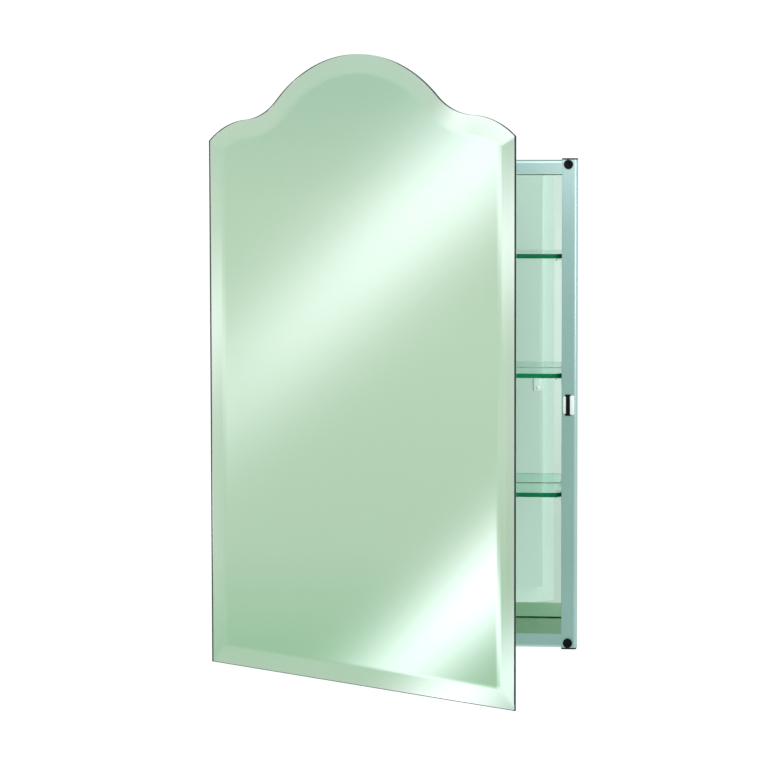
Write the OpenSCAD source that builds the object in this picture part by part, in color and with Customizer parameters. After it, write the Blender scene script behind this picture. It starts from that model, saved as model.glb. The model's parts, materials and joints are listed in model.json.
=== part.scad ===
/* [Body] */
// Width of the body over its jambs
body_w = 368; // [300:1:480]
// Height of the body over its end caps
body_h = 521; // [420:1:640]
// Depth of the body from its front faces to the back of the back panel
body_d = 99; // [82:0.5:140]
// Width of a jamb's front face
jamb_face = 16; // [13.2:0.1:22]
// Height of a rail's front face
rail_face = 15; // [12:0.1:22]
// Wall of the aluminium profiles
wall = 1.6; // [1.3:0.05:2.2]
// Radius of the outer front edge of the profiles
edge_r = 3.2; // [2.6:0.1:5]
// Distance that the frame stands in front of the room wall
collar_d = 20; // [17:0.5:26]
// Width of the lip that carries the back panel
back_lip = 12; // [10:0.5:12.5]
// Thickness of the back panel
back_t = 1.0; // [0.6:0.1:1.6]
// Thickness of the end cap plates
cap_t = 1.6; // [1.2:0.1:2.4]
// Depth of the plug under an end cap plate
plug_h = 2.4; // [1.5:0.1:2.8]

/* [Mirror door] */
// Distance that the mirror stands past the body on every side
overlay = 19; // [14:0.5:24]
// Thickness of the mirror glass
glass_t = 5; // [4:0.1:8]
// Thickness left at the rim of the bevel
rim_t = 3; // [2:0.1:3.8]
// Width of the polished bevel
bevel_w = 20; // [12:0.5:30]
// Height of the crown above the side corners
arch_rise = 85; // [76:0.5:100]
// Height of each shoulder above the side corner
shoulder_rise = 21.5; // [16:0.5:27]
// Radius of the shoulders
shoulder_r = 89; // [76:0.5:104]
// Radius of the hollow curves between shoulder and crown
cove_r = 68; // [58:0.5:80]
// Radius of the crown
crown_r = 151; // [128:0.5:180]
// Depth of the folded door pan
pan_d = 8; // [6.6:0.1:11]
// Thickness of the sheet steel in the door
sheet_t = 0.8; // [0.6:0.1:1.2]
// Distance from the body's outline to the door pan's outline
pan_in = 0.5; // [0.4:0.1:2]
// Width of the folds that face the mirror
fold_w = 12; // [10:0.5:18]
// Thickness of the foam tape
tape_t = 0.9; // [0.5:0.1:1.5]
// Gap between the body's front faces and the closed door pan
door_gap = 3.2; // [3.1:0.05:3.8]
// Opening angle of the door as it is drawn
door_open = 32.5; // [0:0.5:110]

/* [Hinge] */
// Outer diameter of the knuckles
knuckle_d = 4.4; // [3.9:0.1:4.8]
// Diameter of the hinge pin
pin_d = 2.2; // [1.8:0.1:2.4]
// Thickness of a hinge leaf
leaf_t = 1.0; // [0.8:0.05:1.2]
// Width of a hinge leaf
leaf_w = 12; // [10.5:0.1:13]
// Distance from the body's end to the hinge's end
hinge_end = 10; // [4:0.5:20]
// Number of knuckles on both leaves together
knuckles = 25; // [15:2:33]

/* [Shelves] */
// Thickness of a shelf
shelf_t = 4.8; // [4:0.1:6.4]
// Distance between shelf tops
shelf_pitch = 127; // [100:1:152]
// Height of the middle shelf's top above the middle of the body
shelf_mid = 32.5; // [0:0.5:40]
// Distance from the front faces to the shelf's front edge
shelf_set = 8; // [5:0.5:14]
// Radius of a shelf's front corners
shelf_r = 10; // [4:0.5:16]
// Distance between two heights that a shelf can take
hole_pitch = 25.4; // [20:0.1:32]
// Reach of a clip under its shelf
clip_l = 8; // [6:0.5:11]
// Width of a clip
clip_w = 9; // [7:0.5:14]
// Height of a clip
clip_h = 9; // [8.5:0.5:12]
// Diameter of a clip's peg
peg_d = 4.8; // [3.5:0.1:5.6]

/* [Back mirror] */
// Thickness of the mirror inside the body
back_mirror_t = 3; // [2.5:0.1:4]

/* [Catch and bumpers] */
// Distance from a jamb's inner edge to the line of bumpers and catch
latch_in = 6.8; // [6.6:0.1:7.2]
// Height of the magnet
magnet_h = 22.4; // [18:0.1:27]
// Width of the magnet
magnet_w = 4; // [3.4:0.1:4.4]
// Depth of the magnet
magnet_d = 14; // [10:0.5:15]
// Thickness of the pole plates
pole_t = 1.2; // [0.8:0.1:1.3]
// Diameter of a bumper
bumper_d = 9.8; // [8:0.1:10.4]
// Diameter of a bumper's stem
stem_d = 4; // [3:0.1:5]

/* [Fasteners] */
// Diameter of the screws
screw_d = 3.5; // [3:0.1:3.8]
// Diameter of the rivets
rivet_d = 3.2; // [2.8:0.1:4]
// Diameter of the holes for the fixing screws
fixing_d = 5; // [4:0.1:7]
// Distance between the two fixing holes on a side
fixing_pitch = 300; // [240:1:340]
// Distance from the front faces to the fixing holes
fixing_v = 50; // [36:0.5:54]

/* [Clearances] */
// Radial clearance of a shaft in its hole
fit = 0.05; // [0.03:0.01:0.1]
// Gap between the hinge's knuckles and the body's side
hinge_gap = 0.4; // [0.3:0.05:0.8]
// Gap between the magnet and the strike plate of the closed door
magnet_gap = 0.2; // [0.1:0.05:0.6]
// Gap between a bumper and the closed door
bumper_gap = 0.2; // [0.1:0.05:0.6]
// Gap round a piece that is laid in its place
gap = 0.5; // [0.3:0.1:1]

/* [Hidden] */
$fn = 48;

// The room wall is at +Y and the door faces -Y. The origin is on the back panel's rear face.
y_front = -body_d;
in_w = body_w - 2 * jamb_face;
in_h = body_h - 2 * (cap_t + rail_face);
jamb_h = body_h - 2 * cap_t;
inner_d = body_d - back_t;
mirror_y = -back_t - tape_t - back_mirror_t;

// Screw ports of the rails, measured from the front faces and from the rail's inner face
port_r = 3.2;
port_v = [10, body_d - 25];
port_u = wall + port_r - 0.4;
screw_head_r = 3.2;
screw_head_h = 2;
screw_l = 14;

// Rivets of the back panel, as places in X and Z; rivet_in is from the opening's corners to the first
rivet_in = [84, 48.8];
rivet_x = in_w / 2 + back_lip / 2;
rivet_z = in_h / 2 + back_lip / 2;
rivet_step = [in_w / 2 - rivet_in[0], in_h / 2 - rivet_in[1]];
rivet_at = concat([for (s = [-1, 1], k = [-1, 0, 1]) [s * rivet_x, k * rivet_step[1]]],
                  [for (s = [-1, 1], k = [-1, 1]) [k * rivet_step[0], s * rivet_z]]);
rivet_head_r = 2.6;
rivet_tail = [2.3, 1.2];

// Shelves and their clips
shelf_d = body_d + mirror_y - shelf_set - gap;
clip_t = 1.6;
clip_tip = 1.3;
clip_web = 1.4;
gusset_in = 2.8;
peg_up = 3.6;
peg_past = 1.2;
peg_drop = clip_h - peg_up;
clip_in = [22, 16];
clip_v = [shelf_set + clip_in[0], shelf_set + shelf_d - clip_in[1]];

// Tape strips of the back mirror
strips = 4;
strip_in = 39;

// Door hardware that the catch and the bumpers meet
strike_w = 12;
strike_past = 7;
strike_t = 0.8;
strike_screw_past = 3.6;
strike_screw_d = 2.6;
strike_head_r = 2.2;
strike_h = magnet_h + 2 * strike_past;
strike_screw_z = magnet_h / 2 + strike_screw_past;

// Catch and bumpers
pole_d = 10;
inner_wing = 3.2;
outer_wing = 4.6;
wing_r = 1.5;
inner_pole_in = 2.2;
outer_pole_in = 1.1;
housing_past = 4;
bumper_in = 0.1;
stem_past = 1.6;
magnet_out = door_gap - strike_t - magnet_gap;
housing_h = magnet_h + 2 * housing_past;
latch_x = in_w / 2 + latch_in;
bumper_h = door_gap - bumper_gap;
bumper_z = body_h / 2 - cap_t - bumper_d / 2 - bumper_in;
bumper_r = 0.8;
stem_l = wall + stem_past;

// Hinge
hinge_out = knuckle_d / 2 + hinge_gap;
pin_x = -body_w / 2 - hinge_out;
pin_y = y_front - door_gap / 2;
hinge_h = body_h - 2 * hinge_end;
knuckle_h = hinge_h / knuckles;
knuckle_gap = 0.4;
hinge_screw_x = -body_w / 2 + leaf_w / 2;
leaf_screws = 6;
hinge_screw_z = [for (i = [0:leaf_screws - 1]) hinge_h * ((i + 0.5) / leaf_screws - 0.5)];
sink_r = 2.8;
hinge_screw_l = 6;

// Door, as it is when closed
pan_back = y_front - door_gap;
pan_front = pan_back - pan_d;
glass_back = pan_front - tape_t;
pan_w = body_w - 2 * pan_in;
pan_h = body_h - 2 * pan_in;
stiffener_x = 80;
stiffener_w = 40;
stiffener_foot = 8;
tape_w = 9;

// Outline of the mirror: three pairs of arcs that meet at common tangents
side_z = body_h / 2 + overlay;
half_w = body_w / 2 + overlay;
shoulder_c = [-half_w + sqrt(pow(shoulder_r, 2) - pow(shoulder_r - shoulder_rise, 2)),
              side_z + shoulder_rise - shoulder_r];
crown_c = [0, side_z + arch_rise - crown_r];
cove_c = meet(shoulder_c, shoulder_r + cove_r, crown_c, crown_r + cove_r);
shoulder_end = angle(cove_c - shoulder_c);
cove_end = angle(crown_c - cove_c);

// Direction of a vector
function angle(v) = atan2(v[1], v[0]);
// Point above the line from a to b that is at distance ra from a and rb from b
function meet(a, ra, b, rb) =
    let (d = norm(b - a), e = (b - a) / d, along = (ra * ra - rb * rb + d * d) / (2 * d))
    a + along * e + sqrt(ra * ra - along * along) * [-e[1], e[0]];
// Points of an arc about c from angle a to angle b
function arc(c, r, a, b, steps) =
    [for (i = [0:steps]) let (t = a + (b - a) * i / steps) c + r * [cos(t), sin(t)]];
// Left half of the outline, moved inward by a distance
function half_outline(inset) =
    let (corner = acos((-half_w + inset - shoulder_c[0]) / (shoulder_r - inset)))
    concat([[-half_w + inset, -side_z + inset]],
           arc(shoulder_c, shoulder_r - inset, corner, shoulder_end, 9),
           arc(cove_c, cove_r + inset, shoulder_end - 180, cove_end, 12),
           arc(crown_c, crown_r - inset, cove_end + 180, 90, 14));
// Whole outline, with no point twice
function outline(inset) =
    let (h = thin(half_outline(inset)), n = len(h))
    concat(h, [for (i = [n - 2:-1:0]) [-h[i][0], h[i][1]]]);
// A list of points without those that repeat the one before
function thin(p) = [for (i = [0:len(p) - 1]) if (i == 0 || norm(p[i] - p[i - 1]) > 0.01) p[i]];

// Round rod along +X or +Y
module rod_x(d, l) { rotate([0, 90, 0]) cylinder(d = d, h = l); }
module rod_y(d, l) { rotate([-90, 0, 0]) cylinder(d = d, h = l); }

// Rectangle from the origin whose corner at +X and the front is round
module round_edge(w, d, r) {
    square([w - r, d]);
    translate([0, r]) square([w, d - r]);
    translate([w - r, r]) circle(r);
}

// Rectangle centred in X whose two front corners are round
module round_front(w, d, r) {
    translate([-w / 2 + r, 0]) square([w - 2 * r, d]);
    translate([-w / 2, r]) square([w, d - r]);
    for (s = [-1, 1]) translate([s * (w / 2 - r), r]) circle(r);
}

// Section of the frame profiles: front face, collar return, inner wall and back lip
module profile(face) {
    difference() {
        round_edge(face, collar_d, edge_r);
        translate([wall, wall]) round_edge(face - 2 * wall, collar_d, edge_r - wall);
    }
    square([wall, inner_d]);
    translate([0, inner_d - wall]) square([back_lip, wall]);
}

module rail_section() {
    difference() {
        union() {
            profile(rail_face);
            for (v = port_v) translate([port_u, v]) circle(port_r);
        }
        for (v = port_v) translate([port_u, v]) circle(screw_d / 2 + fit);
    }
}

// Top rail, with the rivet holes of the back panel
module rail() {
    difference() {
        translate([0, y_front, in_h / 2]) rotate([0, -90, 0])
            linear_extrude(height = in_w, center = true) rail_section();
        for (s = [-1, 1]) translate([s * rivet_step[0], -back_t - wall - 1, rivet_z])
            rod_y(rivet_d + 2 * fit, wall + 2);
    }
}

// Right jamb, with the holes that both jambs have
module jamb() {
    difference() {
        translate([in_w / 2, y_front, -jamb_h / 2])
            linear_extrude(height = jamb_h) profile(jamb_face);
        translate([in_w / 2 - 1, y_front, 0]) {
            for (z = [-1, 1], v = port_v) translate([0, v, z * (in_h / 2 + port_u)])
                rod_x(screw_d + 2 * fit, wall + 2);
            for (z = [-1, 1]) translate([0, fixing_v, z * fixing_pitch / 2])
                rod_x(fixing_d, wall + 2);
            for (i = [-1:1], k = [-1:1], v = clip_v)
                translate([0, v, shelf_under(i) - peg_drop + k * hole_pitch])
                    rod_x(peg_d + 2 * fit, wall + 2);
        }
        for (k = [-1:1]) translate([rivet_x, -back_t - wall - 1, k * rivet_step[1]])
            rod_y(rivet_d + 2 * fit, wall + 2);
    }
}

module jamb_left() {
    color([0.72, 0.80, 0.78]) difference() {
        mirror([1, 0, 0]) jamb();
        for (z = hinge_screw_z) translate([hinge_screw_x, y_front - 1, z])
            rod_y(screw_d + 2 * fit, wall + 2);
    }
}

module jamb_right() {
    color([0.72, 0.80, 0.78]) difference() {
        jamb();
        for (s = [-1, 1]) translate([latch_x, y_front - 1, s * bumper_z])
            rod_y(stem_d + 2 * fit, wall + 2);
        translate([latch_x, y_front, 0]) catch_cut(wall);
    }
}

module rail_top() { color([0.74, 0.82, 0.80]) rail(); }
module rail_bottom() { color([0.74, 0.82, 0.80]) mirror([0, 0, 1]) rail(); }

// Countersunk rivet whose head is flush with the rear face
module rivet_shank(grow, l) { rotate([90, 0, 0]) cylinder(r = rivet_d / 2 + grow, h = l); }
module rivet_sink(grow) {
    rotate([90, 0, 0]) cylinder(r1 = rivet_head_r + grow, r2 = rivet_d / 2 + grow, h = back_t);
}

module back_panel() {
    color([0.86, 0.90, 0.88]) difference() {
        translate([-in_w / 2 - back_lip, -back_t, -in_h / 2 - back_lip])
            cube([in_w + 2 * back_lip, back_t, in_h + 2 * back_lip]);
        for (p = rivet_at) translate([p[0], 0, p[1]]) {
            rivet_shank(fit, back_t + 1);
            rivet_sink(fit);
        }
    }
}

module back_rivets() {
    color("silver") for (p = rivet_at) translate([p[0], 0, p[1]]) {
        rivet_sink(0);
        rivet_shank(0, back_t + wall + rivet_tail[1]);
        translate([0, -back_t - wall - rivet_tail[1], 0]) rod_y(2 * rivet_tail[0], rivet_tail[1]);
    }
}

// Screws that hold the jambs to the rails
module corner_screws() {
    color("silver") for (s = [0, 1], z = [-1, 1], v = port_v) mirror([s, 0, 0])
        translate([in_w / 2 + wall, y_front + v, z * (in_h / 2 + port_u)]) {
            translate([-screw_l, 0, 0]) rod_x(screw_d, screw_l);
            rod_x(2 * screw_head_r, screw_head_h);
        }
}

// End cap of the right jamb's top
module end_cap() {
    color([0.04, 0.05, 0.05]) translate([in_w / 2, y_front, jamb_h / 2]) {
        linear_extrude(height = cap_t) round_edge(jamb_face, collar_d, edge_r);
        translate([wall + gap / 4, wall + gap / 4, -plug_h]) linear_extrude(height = plug_h)
            round_edge(jamb_face - 2 * wall - gap / 2, collar_d - 2 * wall, edge_r - wall);
    }
}

module back_mirror() {
    color([0.80, 0.90, 0.85]) translate([-in_w / 2 + gap, mirror_y, -in_h / 2 + gap])
        cube([in_w - 2 * gap, back_mirror_t, in_h - 2 * gap]);
}

module back_mirror_tape() {
    color([0.92, 0.92, 0.88]) for (i = [0:strips - 1])
        translate([in_w * ((i + 0.5) / strips - 0.5) - tape_w, -back_t - tape_t, -in_h / 2 + strip_in])
            cube([2 * tape_w, tape_t, in_h - 2 * strip_in]);
}

// Height of a shelf's top and of its underside
function shelf_over(i) = shelf_mid + i * shelf_pitch;
function shelf_under(i) = shelf_over(i) - shelf_t;

module shelf(i) {
    color([0.35, 0.75, 0.55, 0.6]) translate([0, y_front + shelf_set, shelf_under(i)])
        linear_extrude(height = shelf_t) round_front(in_w - 2 * gap, shelf_d, shelf_r);
}

// Clip on the right wall, with its origin at the shelf's underside
module clip() {
    translate([-clip_l, -clip_w / 2, -clip_t]) cube([clip_l, clip_w, clip_t]);
    translate([-clip_l, -clip_w / 2, -clip_t - clip_tip]) cube([clip_tip, clip_w, 2 * clip_tip]);
    translate([-clip_t, -clip_w / 2, -clip_h]) cube([clip_t, clip_w, clip_h]);
    for (y = [-clip_w / 2 + clip_web, clip_w / 2]) translate([0, y, 0]) rotate([90, 0, 0])
        linear_extrude(height = clip_web)
            polygon([[-clip_t / 2, -clip_t / 2], [gusset_in - clip_l, -clip_t / 2], [-clip_t / 2, -clip_h]]);
    translate([-clip_t / 2, 0, -peg_drop]) rod_x(peg_d, clip_t / 2 + wall + peg_past);
}

module shelf_clips(i) {
    color([0.85, 0.93, 0.89, 0.7]) for (s = [0, 1], v = clip_v) mirror([s, 0, 0])
        translate([in_w / 2, y_front + v, shelf_under(i)]) clip();
}

// Rubber bumper with a small round on its rim
module bumper(s) {
    color([0.03, 0.03, 0.04]) translate([latch_x, y_front, s * bumper_z]) rotate([90, 0, 0]) {
        rotate_extrude() {
            square([bumper_d / 2 - bumper_r, bumper_h]);
            square([bumper_d / 2, bumper_h - bumper_r]);
            translate([bumper_d / 2 - bumper_r, bumper_h - bumper_r]) circle(bumper_r);
        }
        translate([0, 0, -stem_l]) cylinder(d = stem_d, h = stem_l);
    }
}

// Room that the magnet and the pole plates take in the jamb and the housing
module catch_cut(d) {
    translate([-magnet_w / 2 - pole_t - fit, -1, -magnet_h / 2 - fit])
        cube([magnet_w + 2 * (pole_t + fit), d + 2, magnet_h + 2 * fit]);
}

module catch_housing() {
    color([0.10, 0.10, 0.10]) difference() {
        translate([in_w / 2 + wall + gap / 2, y_front + wall, -housing_h / 2])
            linear_extrude(height = housing_h)
                round_edge(jamb_face - 2 * wall - gap, magnet_d - magnet_out, edge_r - wall);
        translate([latch_x, y_front, 0]) catch_cut(magnet_d - magnet_out - 1);
    }
}

module catch_magnet() {
    color([0.03, 0.03, 0.03])
        translate([latch_x - magnet_w / 2, y_front - magnet_out, -magnet_h / 2])
            cube([magnet_w, magnet_d, magnet_h]);
}

// Pole plate on the side of +X: a plate in the slot and a round-cornered wing on the jamb's face
module pole(wing, h) {
    translate([magnet_w / 2, -pole_t, -h / 2]) cube([pole_t, pole_d, h]);
    translate([magnet_w / 2, 0, 0]) rotate([90, 0, 0]) linear_extrude(height = pole_t) {
        translate([0, -h / 2]) square([wing - wing_r, h]);
        translate([0, -h / 2 + wing_r]) square([wing, h - 2 * wing_r]);
        for (s = [-1, 1]) translate([wing - wing_r, s * (h / 2 - wing_r)]) circle(wing_r);
    }
}

module catch_pole_inner() {
    color([0.75, 0.82, 0.80]) translate([latch_x, y_front, 0]) mirror([1, 0, 0])
        pole(inner_wing, magnet_h - 2 * inner_pole_in);
}

module catch_pole_outer() {
    color([0.90, 0.93, 0.92]) translate([latch_x, y_front, 0])
        pole(outer_wing, magnet_h - 2 * outer_pole_in);
}

// Countersunk screw along +Y with its head's face at the origin
module sunk_screw(grow, l) {
    rotate([-90, 0, 0]) {
        cylinder(r1 = sink_r + grow, r2 = screw_d / 2 + grow, h = leaf_t);
        cylinder(r = screw_d / 2 + grow, h = l);
    }
}

// Leaf on the body's front face; a leaf has the even knuckles (0) or the odd ones (1)
module hinge_leaf(first) {
    difference() {
        union() {
            translate([-body_w / 2, y_front - leaf_t, -hinge_h / 2]) cube([leaf_w, leaf_t, hinge_h]);
            for (i = [first:2:knuckles - 1])
                translate([pin_x, 0, -hinge_h / 2 + i * knuckle_h + knuckle_gap / 2]) {
                    translate([0, pin_y, 0]) cylinder(d = knuckle_d, h = knuckle_h - knuckle_gap);
                    translate([0, y_front - leaf_t, 0])
                        cube([hinge_out + 1, leaf_t, knuckle_h - knuckle_gap]);
                }
        }
        translate([pin_x, pin_y, -hinge_h / 2 - 1]) cylinder(d = pin_d + 2 * fit, h = hinge_h + 2);
        for (z = hinge_screw_z) translate([hinge_screw_x, y_front - leaf_t, z]) sunk_screw(fit, 3);
    }
}

module hinge_screws() {
    for (z = hinge_screw_z) translate([hinge_screw_x, y_front - leaf_t, z])
        sunk_screw(0, hinge_screw_l);
}

// Mirrors its children to the door's side of the pin
module door_side() { translate([0, 2 * pin_y, 0]) mirror([0, 1, 0]) children(); }
// Turns its children about the pin, from closed to the angle that is drawn
module swing() {
    translate([pin_x, pin_y, 0]) rotate([0, 0, -door_open]) translate([-pin_x, -pin_y, 0]) children();
}

module hinge_leaf_body() { color([0.78, 0.80, 0.78]) hinge_leaf(0); }
module hinge_screws_body() { color("silver") hinge_screws(); }
module hinge_leaf_door() { color([0.78, 0.80, 0.78]) swing() door_side() hinge_leaf(1); }
module hinge_screws_door() { color("silver") swing() door_side() hinge_screws(); }

module hinge_pin() {
    color([0.60, 0.62, 0.60]) translate([pin_x, pin_y, -hinge_h / 2 - 1])
        cylinder(d = pin_d, h = hinge_h + 2);
}

// Folded tray that carries the mirror
module door_pan() {
    color([0.90, 0.93, 0.91]) swing() difference() {
        translate([-pan_w / 2, pan_front, -pan_h / 2]) cube([pan_w, pan_d, pan_h]);
        translate([-pan_w / 2 + sheet_t, pan_front + sheet_t, -pan_h / 2 + sheet_t])
            cube([pan_w - 2 * sheet_t, pan_d - 2 * sheet_t, pan_h - 2 * sheet_t]);
        translate([-pan_w / 2 + fold_w, pan_front - 1, -pan_h / 2 + fold_w])
            cube([pan_w - 2 * fold_w, sheet_t + 2, pan_h - 2 * fold_w]);
        for (z = hinge_screw_z) translate([hinge_screw_x, pan_back - sheet_t - 1, z])
            rod_y(screw_d + 2 * fit, sheet_t + 2);
        for (s = [-1, 1]) translate([latch_x, pan_back - sheet_t - 1, s * strike_screw_z])
            rod_y(strike_screw_d + 2 * fit, sheet_t + 2);
    }
}

// Hat channel between the pan and the mirror
module stiffener(s) {
    leg_d = pan_d - sheet_t;
    color([0.80, 0.83, 0.82]) swing()
        translate([s * stiffener_x, pan_front, -pan_h / 2 + fold_w + gap])
            linear_extrude(height = pan_h - 2 * (fold_w + gap)) {
                translate([-stiffener_w / 2, 0]) square([stiffener_w, sheet_t]);
                for (m = [0, 1]) mirror([m, 0]) {
                    translate([stiffener_w / 2 - sheet_t, 0]) square([sheet_t, leg_d]);
                    translate([stiffener_w / 2 - sheet_t, leg_d - sheet_t])
                        square([stiffener_foot, sheet_t]);
                }
            }
}

// Foam tape on the pan's folds and on the stiffeners
module mirror_tape() {
    tall = pan_h - 2 * (fold_w + gap);
    color([0.92, 0.92, 0.88]) swing() {
        for (s = [-1, 1]) {
            translate([s * (pan_w / 2 - fold_w / 2) - tape_w / 2, glass_back, -tall / 2])
                cube([tape_w, tape_t, tall]);
            translate([-pan_w / 2 + fold_w, glass_back, s * (pan_h / 2 - fold_w / 2) - tape_w / 2])
                cube([pan_w - 2 * fold_w, tape_t, tape_w]);
            translate([s * stiffener_x - stiffener_w / 3, glass_back, -tall / 2])
                cube([stiffener_w / 1.5, tape_t, tall]);
        }
    }
}

// Mirror glass with its bevel: the outline at the back and the rim, the inset outline in front
module mirror_glass() {
    rim = outline(0);
    face = outline(bevel_w);
    n = len(rim);
    points = concat([for (p = rim) [p[0], glass_back, p[1]]],
                    [for (p = rim) [p[0], glass_back - rim_t, p[1]]],
                    [for (p = face) [p[0], glass_back - glass_t, p[1]]]);
    sides = [for (ring = [0, 1], i = [0:n - 1]) let (j = (i + 1) % n)
             [ring * n + i, (ring + 1) * n + i, (ring + 1) * n + j, ring * n + j]];
    color([0.70, 0.85, 0.76]) swing()
        polyhedron(points, concat([[for (i = [0:n - 1]) i]], sides, [[for (i = [n - 1:-1:0]) 2 * n + i]]));
}

module strike_plate() {
    color("silver") swing() difference() {
        translate([latch_x - strike_w / 2, pan_back, -strike_h / 2]) cube([strike_w, strike_t, strike_h]);
        for (s = [-1, 1]) translate([latch_x, pan_back - 1, s * strike_screw_z])
            rod_y(strike_screw_d + 2 * fit, strike_t + 2);
    }
}

module strike_screws() {
    color("silver") swing() for (s = [-1, 1]) translate([latch_x, pan_back, s * strike_screw_z]) {
        translate([0, -4, 0]) rod_y(strike_screw_d, 4 + strike_t);
        translate([0, strike_t, 0]) rod_y(2 * strike_head_r, 0.8);
    }
}

jamb_left();
jamb_right();
rail_top();
rail_bottom();
back_panel();
back_rivets();
corner_screws();
mirror([1, 0, 0]) end_cap();  // end_cap_top_left
end_cap();  // end_cap_top_right
mirror([0, 0, 1]) mirror([1, 0, 0]) end_cap();  // end_cap_bottom_left
mirror([0, 0, 1]) end_cap();  // end_cap_bottom_right
back_mirror();
back_mirror_tape();
shelf(1);  // shelf_top
shelf(0);  // shelf_middle
shelf(-1);  // shelf_bottom
shelf_clips(1);  // shelf_clips_top
shelf_clips(0);  // shelf_clips_middle
shelf_clips(-1);  // shelf_clips_bottom
bumper(1);  // bumper_top
bumper(-1);  // bumper_bottom
catch_housing();
catch_magnet();
catch_pole_inner();
catch_pole_outer();
hinge_leaf_body();
hinge_pin();
hinge_screws_body();
hinge_leaf_door();
hinge_screws_door();
door_pan();
stiffener(-1);  // door_stiffener_left
stiffener(1);  // door_stiffener_right
mirror_tape();
mirror_glass();
strike_plate();
strike_screws();
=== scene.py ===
# %% [markdown]
# # A medicine cabinet with a bevelled mirror door
# The cabinet is an aluminium frame with a mirrored back, three glass shelves and an arched mirror
# on a folded steel door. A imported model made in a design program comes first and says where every
# part sits and how it moves. This lesson builds the looks round it, one part at a time.

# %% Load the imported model
import json
import math
import bmesh
import bpy
from mathutils import Matrix, Vector


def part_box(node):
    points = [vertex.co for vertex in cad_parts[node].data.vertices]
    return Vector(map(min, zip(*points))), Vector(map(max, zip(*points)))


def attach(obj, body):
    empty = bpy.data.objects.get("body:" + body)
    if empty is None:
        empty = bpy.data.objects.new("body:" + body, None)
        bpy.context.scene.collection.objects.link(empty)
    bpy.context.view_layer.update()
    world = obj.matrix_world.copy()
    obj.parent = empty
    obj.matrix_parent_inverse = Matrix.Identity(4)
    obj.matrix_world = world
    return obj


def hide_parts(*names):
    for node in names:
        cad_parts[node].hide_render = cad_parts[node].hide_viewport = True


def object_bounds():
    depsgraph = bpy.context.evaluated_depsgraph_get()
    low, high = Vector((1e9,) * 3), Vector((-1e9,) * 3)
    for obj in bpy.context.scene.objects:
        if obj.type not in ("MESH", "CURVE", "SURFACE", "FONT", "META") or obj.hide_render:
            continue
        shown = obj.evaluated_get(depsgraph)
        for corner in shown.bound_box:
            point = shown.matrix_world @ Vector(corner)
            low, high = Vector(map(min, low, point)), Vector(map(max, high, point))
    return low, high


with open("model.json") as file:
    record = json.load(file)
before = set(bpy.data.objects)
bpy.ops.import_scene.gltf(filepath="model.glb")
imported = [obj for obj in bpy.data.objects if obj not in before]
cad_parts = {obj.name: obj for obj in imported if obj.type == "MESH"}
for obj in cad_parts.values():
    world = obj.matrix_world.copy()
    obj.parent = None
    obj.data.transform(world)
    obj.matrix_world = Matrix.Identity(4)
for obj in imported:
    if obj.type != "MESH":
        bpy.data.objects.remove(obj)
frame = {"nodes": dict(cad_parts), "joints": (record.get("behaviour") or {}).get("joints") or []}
cad_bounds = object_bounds()
print("parts in the packed model:", len(frame["nodes"]))

# %% [markdown]
# ## Where things are
# Sizes here are in millimetres, as on a drawing, and Blender works in metres, so one factor turns
# one into the other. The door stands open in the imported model. The joint's range says by how much,
# because its lower limit is the closed door. Door parts are easiest to build closed, where they are
# square to the axes, and then a single matrix turns them about the hinge pin.

# %% Read the places of the body and of the hinge
MM = 0.001
swing_joint = next(j for j in frame["joints"] if j["name"] == "door_swing")
pin = Vector(swing_joint["pos_m"])
opening = math.radians(-swing_joint["range_deg"][0])
door_turn = Matrix.Translation(pin) @ Matrix.Rotation(-opening, 4, "Z") @ Matrix.Translation(-pin)


def closed_box(node):
    """Lowest and highest corner of a door part when the door is closed, in mm."""
    back = door_turn.inverted()
    points = [back @ v.co / MM for v in frame["nodes"][node].data.vertices]
    return [Vector(pick(p[i] for p in points) for i in range(3)) for pick in (min, max)]


def box_mm(node):
    """Lowest and highest corner of a part as it stands, in mm."""
    return [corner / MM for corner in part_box(node)]


jamb_low, jamb_high = box_mm("jamb_right")
inner_x, outer_x, front_y = jamb_low.x, jamb_high.x, jamb_low.y
print("door open by", round(math.degrees(opening), 1), "degrees")
print("opening is", round(2 * inner_x), "mm wide")

# %% [markdown]
# ## The camera
# A long lens a few metres away keeps the upright edges of a tall object nearly parallel. The camera
# stands a little to the right and a little high, and looks slightly down. A small shift slides the
# picture on the sensor without turning the camera, which is how a studio camera frames an object.

# %% Place the camera
def show(name, data):
    """A new object in the scene."""
    made = bpy.data.objects.new(name, data)
    bpy.context.scene.collection.objects.link(made)
    return made


LENS, CAMERA_AT, LOOK_DOWN, LOOK_LEFT = 114.48, (0.3099, -2.6694, 0.2344), 3.27, 5.17
camera_data = bpy.data.cameras.new("camera")
camera_data.lens = LENS
camera_data.sensor_width = 36
camera_data.shift_x = -0.12
camera_data.shift_y = -0.08
camera_data.clip_end = 50
camera = show("camera", camera_data)
camera.location = CAMERA_AT
camera.rotation_euler = (math.radians(90 - LOOK_DOWN), 0, math.radians(LOOK_LEFT))
bpy.context.scene.camera = camera
bpy.context.scene.view_settings.view_transform = "Standard"
print("lens", camera_data.lens, "mm")

# %% [markdown]
# ## Node helpers
# Every finish is a small graph of nodes, so a few helpers keep the graphs short. The first adds a
# node, sets its inputs and links them. The others do arithmetic, give a colour its fourth number and
# mix two colours.


# %% Add and link nodes
def add(tree, kind, settings=(), **values):
    """A new node. An input is named, with _ for a space, or numbered, as i0. Sockets are linked."""
    node = tree.nodes.new(kind)
    for key, value in dict(settings).items():
        setattr(node, key, value)
    for key, value in values.items():
        numbered = key[0] == "i" and key[1:].isdigit()
        socket = node.inputs[int(key[1:]) if numbered else key.replace("_", " ")]
        if isinstance(value, bpy.types.NodeSocket):
            tree.links.new(value, socket)
        else:
            socket.default_value = value
    return node


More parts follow.
